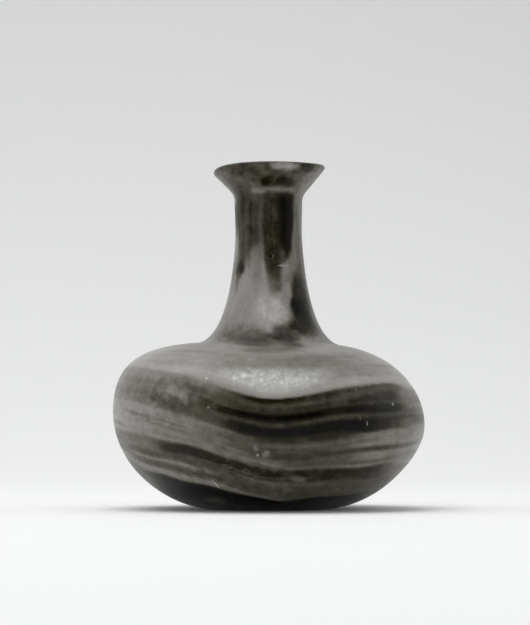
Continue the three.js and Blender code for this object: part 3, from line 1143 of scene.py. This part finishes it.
@dataclass(frozen=True)
class WeatheredMarbledGlass:
    """Marbled soda-lime glass, free-blown, its gloss dulled to satin by burial.

    Dark and pale glass are drawn out into strands, fine striae run along them, and weathering leaves
    clouds, a grain of tiny pits, and a frosted place with soft bright specks, which on the shoulder is
    partly a painted highlight, its specks partly painted glints. Tones are each a darkness and the
    glass's colour there. Widths, spacings and depths are millimetres. A mark's and a speck's
    edge and core, and a ring's hole, are shares of its half size.
    """

    tones: tuple[tuple[float, str], ...] = (
        (0.0, "c4c0bb"), (0.08, "a9a5a0"), (0.28, "8f8b86"),
        (0.52, "5d584e"), (0.74, "29251b"), (1.0, "060504"),
    )
    # The frost's colour is partly a painted highlight on the shoulder, and the speck's colour partly painted
    # glints
    frost_and_highlight: str = "dcdcd6"
    speck: str = "f6f5f0"
    ior: float = 1.52
    gloss: float = 0.22
    bloom: float = 0.2
    bloom_roughness: float = 0.4
    smoothest: float = 0.30
    roughest: float = 0.46
    smoothest_relief: float = 0.4
    roughest_relief: float = 0.7
    textures: tuple[Texture, ...] = (
        Texture(1.5, 0.17, relief=0.6, follows_strands=True),
        Texture(0.45, 0.08, follows_strands=True),
        Texture(4.0, 0.12),
        Texture(1.7, 0.22, mottles=True),
        Texture(0.5, 0.09, relief=0.5),
    )
    grain_detail: float = 3.0
    grain_roughness: float = 0.58
    relief_depth: float = 0.08
    relief_strength: float = 0.35
    granule_width: float = 1.2
    granule_roughness: float = 0.7
    crust_starts: float = 0.3
    crust_full: float = 0.68
    thinnest_crust: float = 0.25
    thickest_crust: float = 0.95
    speck_spacing: float = 1.3
    speck_share: float = 0.75
    speck_edge: float = 0.5
    speck_core: float = 0.1
    bare_share: float = 0.45
    mark_depth: float = 1.2
    mark_edge: float = 1.15
    mark_core: float = 0.5
    ring_hole: float = 0.3
    ring_full: float = 0.8

    def material(self) -> bpy.types.Material:
        """Builds the material.

        Returns:
            The material, which reads the marbling's attributes.
        """
        material = bpy.data.materials.new("weathered_marbled_glass")
        material.use_nodes = True
        tree = material.node_tree
        tree.nodes.clear()
        place = add_node(tree, "ShaderNodeTexCoord").outputs["Object"]
        tone, relief = self._grain(tree, place)
        glass = add_node(tree, "ShaderNodeValToRGB", {0: tone})
        self._fill(glass.color_ramp)
        rough = add_node(tree, "ShaderNodeMapRange", {
            0: relief, 1: self.smoothest_relief, 2: self.roughest_relief, 3: self.smoothest, 4: self.roughest,
        })
        bump = add_node(tree, "ShaderNodeBump", {
            "Strength": self.relief_strength, "Distance": self.relief_depth * MM, "Height": relief,
        })
        shader = add_node(tree, "ShaderNodeBsdfPrincipled", {
            "Base Color": self._frosted_and_highlit(tree, place, glass), "Roughness": rough,
            "IOR": self.ior, "Specular IOR Level": self.gloss,
            "Sheen Weight": self.bloom, "Sheen Roughness": self.bloom_roughness, "Normal": bump,
        })
        add_node(tree, "ShaderNodeOutputMaterial", {"Surface": shader})
        return material

    def _grain(self, tree: bpy.types.NodeTree, place: Wire) -> tuple[Wire, Wire]:
        """Adds the striae, the clouds and the grain of pits.

        Args:
            tree: The material's tree.
            place: The place on the object.

        Returns:
            The darkness that they leave, and the height of their relief.
        """
        strand = add_node(tree, "ShaderNodeAttribute", attribute_name="strand_place").outputs["Vector"]
        tone = add_node(tree, "ShaderNodeAttribute", attribute_name="darkness").outputs["Fac"]
        mottling = add_node(tree, "ShaderNodeAttribute", attribute_name="mottling").outputs["Fac"]
        relief: Wire | float = 0.0
        for texture in self.textures:
            noise = add_node(tree, "ShaderNodeTexNoise", {
                "Vector": strand if texture.follows_strands else place,
                "Scale": 1.0 / (texture.width * MM),
                "Detail": self.grain_detail, "Roughness": self.grain_roughness,
            })
            centred = add_node(tree, "ShaderNodeMath", {0: noise, 1: 0.5}, operation="SUBTRACT")
            if texture.mottles:
                centred = add_node(tree, "ShaderNodeMath", {0: centred, 1: mottling}, operation="MULTIPLY")
            tone = add_node(tree, "ShaderNodeMath", {0: centred, 1: texture.shift, 2: tone},
                            operation="MULTIPLY_ADD")
            if texture.relief:
                relief = add_node(tree, "ShaderNodeMath", {0: noise, 1: texture.relief, 2: relief},
                                  operation="MULTIPLY_ADD")
        return tone, relief

    def _fill(self, ramp: bpy.types.ColorRamp) -> None:
        """Gives a colour ramp the glass's tones.

        Args:
            ramp: A new ramp, which has two stops.
        """
        while len(ramp.elements) < len(self.tones):
            ramp.elements.new(0.5)
        for element, (darkness, colour) in zip(ramp.elements, self.tones):
            element.position = darkness
            element.color = linear(colour)

    def _frosted_and_highlit(self, tree: bpy.types.NodeTree, place: Wire, glass: Wire) -> Wire:
        """Lays a granular crust over the frosted places, with soft bright specks in some of it. On the
        shoulder the crust is partly a painted highlight and the specks partly painted glints.

        Args:
            tree: The material's tree.
            place: The place on the object.
            glass: The colour under the frost.

        Returns:
            The colour with the frost on it.
        """
        frost_and_highlight = add_node(tree, "ShaderNodeAttribute", attribute_name="frost_and_highlight").outputs["Fac"]
        granule = add_node(tree, "ShaderNodeTexNoise", {
            "Vector": place, "Scale": 1.0 / (self.granule_width * MM),
            "Detail": self.grain_detail, "Roughness": self.granule_roughness,
        })
        crust = add_node(tree, "ShaderNodeMapRange", {
            0: granule, 1: self.crust_starts, 2: self.crust_full,
            3: self.thinnest_crust, 4: self.thickest_crust,
        })
        share = add_node(tree, "ShaderNodeMath", {0: crust, 1: frost_and_highlight}, operation="MULTIPLY")
        crusted = add_node(tree, "ShaderNodeMix", {0: share, 6: glass, 7: linear(self.frost_and_highlight)},
                           data_type="RGBA").outputs[2]
        # Bright specks on the frosted places, partly painted glints of light
        cells = add_node(tree, "ShaderNodeTexVoronoi", {
            "Vector": place, "Scale": 1.0 / (self.speck_spacing * MM),
        })
        spot = add_node(tree, "ShaderNodeMapRange", {
            0: cells.outputs["Distance"], 1: self.speck_edge, 2: self.speck_core, 3: 0.0, 4: self.speck_share,
        })
        lot = add_node(tree, "ShaderNodeSeparateXYZ", {0: cells.outputs["Color"]}).outputs["X"]
        drawn = add_node(tree, "ShaderNodeMapRange", {0: lot, 1: self.bare_share, 2: 1.0, 3: 0.0, 4: 1.0})
        here = add_node(tree, "ShaderNodeMath", {0: spot, 1: drawn}, operation="MULTIPLY")
        specks = add_node(tree, "ShaderNodeMath", {0: here, 1: frost_and_highlight}, operation="MULTIPLY")
        return add_node(tree, "ShaderNodeMix", {0: specks, 6: crusted, 7: linear(self.speck)},
                        data_type="RGBA").outputs[2]

    def add_marks(self, material: bpy.types.Material, mesh: bpy.types.Mesh, inside: np.ndarray) -> None:
        """Lays the scratches, pits, bubbles and specks over the glass.

        Args:
            material: The flask's material.
            mesh: The flask's mesh, which says where each mark lies.
            inside: For each vertex, whether it lies on the inside.
        """
        tree = material.node_tree
        shader = tree.nodes["Principled BSDF"]
        colour = shader.inputs["Base Color"].links[0].from_socket
        place = add_node(tree, "ShaderNodeTexCoord").outputs["Object"]
        places = np.array([vertex.co for vertex in mesh.vertices])
        azimuths = np.degrees(np.arctan2(places[:, 0], -places[:, 1]))
        for mark in MARKS:
            off = np.hypot((azimuths - mark.azimuth) / 2, places[:, 2] / MM - mark.level)
            local = add_node(tree, "ShaderNodeMapping", {
                "Vector": place,
                "Location": places[np.argmin(np.where(inside, np.inf, off))],
                "Rotation": (0.0, math.radians(-mark.slant), math.radians(mark.azimuth)),
                "Scale": (mark.half_length * MM, self.mark_depth * MM, mark.half_width * MM),
            }, vector_type="TEXTURE")
            away = add_node(tree, "ShaderNodeVectorMath", {0: local}, operation="LENGTH").outputs["Value"]
            cover = add_node(tree, "ShaderNodeMapRange", {
                0: away, 1: self.mark_edge, 2: self.mark_core, 3: 0.0, 4: mark.strength,
            })
            if mark.ring:
                hollow = add_node(tree, "ShaderNodeMapRange", {
                    0: away, 1: self.ring_hole, 2: self.ring_full, 3: 0.0, 4: 1.0,
                })
                cover = add_node(tree, "ShaderNodeMath", {0: cover, 1: hollow}, operation="MULTIPLY")
            colour = add_node(tree, "ShaderNodeMix", {0: cover, 6: colour, 7: linear(mark.tone)},
                              data_type="RGBA").outputs[2]
        tree.links.new(colour, shader.inputs["Base Color"])


@dataclass(frozen=True)
class GradedBoard:
    """Matt background paper on board, white at the floor and a light grey higher up; the grey is painted
    shade, standing in for the light falling off up the backdrop.

    It glows a little as painted light, though it is no lamp, which keeps shadows on it pale.
    """

    floor: str = "f7f7f6"
    top: str = "e4e4e3"
    grading_from: float = 0.0
    grading_to: float = 300.0
    roughness: float = 0.9
    glow: float = 0.04

    def material(self) -> bpy.types.Material:
        """Builds the material.

        Returns:
            The material, graded by height.
        """
        material = bpy.data.materials.new("graded_board")
        material.use_nodes = True
        tree = material.node_tree
        place = add_node(tree, "ShaderNodeTexCoord").outputs["Object"]
        height = add_node(tree, "ShaderNodeSeparateXYZ", {0: place}).outputs["Z"]
        # The grading from white to grey is painted shade on the board
        share = add_node(tree, "ShaderNodeMapRange", {
            0: height, 1: self.grading_from * MM, 2: self.grading_to * MM, 3: 0.0, 4: 1.0,
        })
        graded = add_node(tree, "ShaderNodeMix", {0: share, 6: linear(self.floor), 7: linear(self.top)},
                          data_type="RGBA").outputs[2]
        shader = tree.nodes["Principled BSDF"]
        tree.links.new(graded, shader.inputs["Base Color"])
        # The glow is painted light that lifts the shadows on the board
        tree.links.new(graded, shader.inputs["Emission Color"])
        shader.inputs["Roughness"].default_value = self.roughness
        shader.inputs["Emission Strength"].default_value = self.glow
        return material


# The flask and its setting


@dataclass
class Flask:
    """The flask: its outline, its unevenness, its marbling and its glass."""

    outline: FlaskOutline = field(default_factory=FlaskOutline)
    blown: BlownUnevenness = field(default_factory=BlownUnevenness)
    marbling: Marbling = field(default_factory=Marbling)
    glass: WeatheredMarbledGlass = field(default_factory=WeatheredMarbledGlass)
    facets: int = 352

    def build(self) -> bpy.types.Object:
        """Makes the flask, dresses it and puts it in the place of the CAD node.

        Returns:
            The finished object.
        """
        glass = self.glass.material()
        piece, inside = BlownLathe().turn("marbled_flask", self.outline, self.blown, self.facets, glass)
        self.marbling.paint(piece.data, inside)
        self.glass.add_marks(glass, piece.data, inside)
        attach(piece, "root")
        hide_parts("flask")
        LOG.info("%s: %d faces", piece.name, len(piece.data.polygons))
        return piece


@dataclass
class Studio:
    """A pale sweep, a soft light, the room's light and the camera. Millimetres, and the lamp in watts."""

    sweep_half_width: float = 1500.0
    sweep_front: float = -900.0
    sweep_bend_start: float = 260.0
    sweep_bend_radius: float = 420.0
    sweep_top: float = 1600.0
    sweep_steps: int = 24
    board: GradedBoard = field(default_factory=GradedBoard)
    camera_distance: float = 500.0
    camera_level: float = 16.0
    frame_height: float = 129.1
    nearest_view: float = 10.0
    aim_level: float = 40.45
    aim_aside: float = -0.78
    lamp_place: tuple[float, float, float] = (-150.0, -50.0, 800.0)
    lamp_size: float = 700.0
    lamp_watts: float = 3.7
    lamp_aim_level: float = 30.0
    room_colour: str = "f4f6f8"
    room_front: float = 0.16
    room_back: float = 0.975
    room_bright_from: float = 0.3
    black_level: float = 0.01

    def build_sweep(self) -> bpy.types.Object:
        """Makes the floor and backdrop as one bent board.

        Returns:
            The sweep.
        """
        angles = np.linspace(0.0, math.pi / 2, self.sweep_steps + 1)
        line = [(self.sweep_front, 0.0)]
        line += [(self.sweep_bend_start + self.sweep_bend_radius * math.sin(angle),
                  self.sweep_bend_radius * (1 - math.cos(angle))) for angle in angles]
        line.append((line[-1][0], self.sweep_top))
        half = self.sweep_half_width
        corners = [(side * MM, y * MM, z * MM) for y, z in line for side in (-half, half)]
        faces = [(at, at + 1, at + 3, at + 2) for at in range(0, len(corners) - 2, 2)]
        mesh = bpy.data.meshes.new("pale_sweep")
        mesh.from_pydata(corners, [], faces)
        mesh.shade_smooth()
        sweep = bpy.data.objects.new("pale_sweep", mesh)
        bpy.context.scene.collection.objects.link(sweep)
        mesh.materials.append(self.board.material())
        return sweep

    def add_lamp(self) -> bpy.types.Object:
        """Adds a square soft light overhead that looks at the flask.

        Returns:
            The light.
        """
        data = bpy.data.lights.new("overhead", "AREA")
        data.size = self.lamp_size * MM
        data.energy = self.lamp_watts
        lamp = bpy.data.objects.new("overhead", data)
        lamp.location = Vector(self.lamp_place) * MM
        aim = Vector((0.0, 0.0, self.lamp_aim_level)) * MM - lamp.location
        lamp.rotation_euler = aim.to_track_quat("-Z", "Y").to_euler()
        bpy.context.scene.collection.objects.link(lamp)
        return lamp

    def light_room(self) -> None:
        """Surrounds the scene with the light of a room that is dim behind the camera."""
        world = bpy.data.worlds.new("room_light")
        world.use_nodes = True
        tree = world.node_tree
        direction = add_node(tree, "ShaderNodeTexCoord").outputs["Generated"]
        backwards = add_node(tree, "ShaderNodeSeparateXYZ", {0: direction}).outputs["Y"]
        strength = add_node(tree, "ShaderNodeMapRange", {
            0: backwards, 1: -1.0, 2: self.room_bright_from, 3: self.room_front, 4: self.room_back,
        })
        background = tree.nodes["Background"]
        background.inputs["Color"].default_value = linear(self.room_colour)
        tree.links.new(strength.outputs[0], background.inputs["Strength"])
        bpy.context.scene.world = world

    def set_film(self) -> None:
        """Sets a plain tone curve, a little deeper in the blacks."""
        view = bpy.context.scene.view_settings
        view.view_transform = "Standard"
        view.use_curve_mapping = True
        view.curve_mapping.black_level = (self.black_level,) * 3
        view.curve_mapping.update()

    def place_camera(self) -> bpy.types.Object:
        """Puts the camera low in front of the flask, looking slightly up.

        Returns:
            The camera.
        """
        data = bpy.data.cameras.new("camera")
        camera = bpy.data.objects.new("camera", data)
        eye = Vector((0.0, -self.camera_distance, self.camera_level)) * MM
        aim = Vector((self.aim_aside, 0.0, self.aim_level)) * MM
        camera.location = eye
        camera.rotation_euler = (aim - eye).to_track_quat("-Z", "Y").to_euler()
        data.lens = data.sensor_width * (aim - eye).length / (self.frame_height * MM)
        data.clip_start = self.nearest_view * MM
        bpy.context.scene.collection.objects.link(camera)
        bpy.context.scene.camera = camera
        return camera


def main() -> None:
    """Builds the setting and the flask, in order."""
    logging.basicConfig(level=logging.INFO, format="%(name)s: %(message)s")
    studio = Studio()
    studio.place_camera()
    studio.build_sweep()
    studio.add_lamp()
    studio.light_room()
    studio.set_film()
    LOG.info("the sweep, the lamp and the camera stand")
    Flask().build()


if __name__ == "__main__":
    main()
